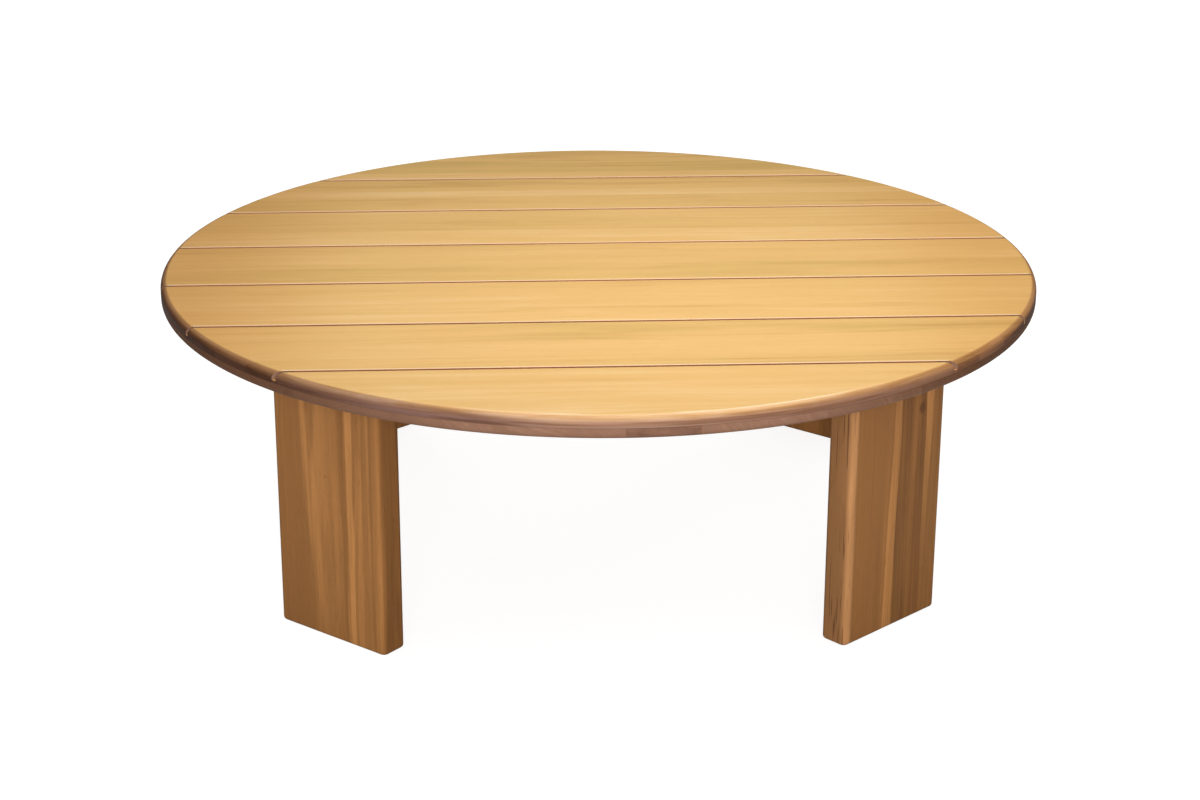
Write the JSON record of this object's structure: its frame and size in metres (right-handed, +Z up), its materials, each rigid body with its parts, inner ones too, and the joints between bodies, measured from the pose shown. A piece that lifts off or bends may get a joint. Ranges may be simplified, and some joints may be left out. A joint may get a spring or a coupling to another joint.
{
  "type": "folding low table",
  "caption": "Round low table with a boarded wooden top and slab legs that fold flat under it on steel brackets.",
  "frame": {"origin": "on the floor under the middle of the round top", "axes": "+Z up, the boards of the top run along X, the front of the table faces -Y"},
  "size_m": [0.9999, 1, 0.326],
  "materials": {
    "board_wood": "satin clear oil",
    "panel_wood": "satin clear oil",
    "leg_wood": "satin clear oil",
    "batten_wood": "satin clear oil",
    "bracket_steel": "black powder coat",
    "pin_steel": "zinc plated",
    "spring_steel": "blued spring steel",
    "washer_nylon": "natural nylon",
    "screw_steel": "yellow zinc plated"
  },
  "bodies": {
    "top": {"board_1": "board_wood", "board_2": "board_wood", "board_3": "board_wood", "board_4": "board_wood", "board_5": "board_wood", "board_6": "board_wood", "board_7": "board_wood", "backing_panel": "panel_wood", "left_batten": "batten_wood", "right_batten": "batten_wood", "batten_screws": "screw_steel", "front_left_base_bracket": "bracket_steel", "front_left_hinge_pin": "pin_steel", "front_left_pivot_washers": "washer_nylon", "front_left_detent_spring": "spring_steel", "front_left_spring_rivets": "pin_steel", "front_left_base_screws": "screw_steel", "front_right_base_bracket": "bracket_steel", "front_right_hinge_pin": "pin_steel", "front_right_pivot_washers": "washer_nylon", "front_right_detent_spring": "spring_steel", "front_right_spring_rivets": "pin_steel", "front_right_base_screws": "screw_steel", "back_left_base_bracket": "bracket_steel", "back_left_hinge_pin": "pin_steel", "back_left_pivot_washers": "washer_nylon", "back_left_detent_spring": "spring_steel", "back_left_spring_rivets": "pin_steel", "back_left_base_screws": "screw_steel", "back_right_base_bracket": "bracket_steel", "back_right_hinge_pin": "pin_steel", "back_right_pivot_washers": "washer_nylon", "back_right_detent_spring": "spring_steel", "back_right_spring_rivets": "pin_steel", "back_right_base_screws": "screw_steel"},
    "front_left": {"front_left_leg": "leg_wood", "front_left_leg_bracket": "bracket_steel", "front_left_leg_screws": "screw_steel"},
    "front_right": {"front_right_leg": "leg_wood", "front_right_leg_bracket": "bracket_steel", "front_right_leg_screws": "screw_steel"},
    "back_left": {"back_left_leg": "leg_wood", "back_left_leg_bracket": "bracket_steel", "back_left_leg_screws": "screw_steel"},
    "back_right": {"back_right_leg": "leg_wood", "back_right_leg_bracket": "bracket_steel", "back_right_leg_screws": "screw_steel"}
  },
  "joints": [
    {"name": "front_left_fold", "type": "hinge", "parent": "top", "child": "front_left", "pos_m": [-0.27486, -0.27206, 0.283], "axis": [0.757, -0.6534, 0], "range_deg": [0, 90]},
    {"name": "front_right_fold", "type": "hinge", "parent": "top", "child": "front_right", "pos_m": [0.27486, -0.27206, 0.283], "axis": [0.757, 0.6534, 0], "range_deg": [0, 90]},
    {"name": "back_left_fold", "type": "hinge", "parent": "top", "child": "back_left", "pos_m": [-0.27486, 0.27206, 0.283], "axis": [-0.757, -0.6534, 0], "range_deg": [0, 90]},
    {"name": "back_right_fold", "type": "hinge", "parent": "top", "child": "back_right", "pos_m": [0.27486, 0.27206, 0.283], "axis": [-0.757, 0.6534, 0], "range_deg": [0, 90]}
  ]
}
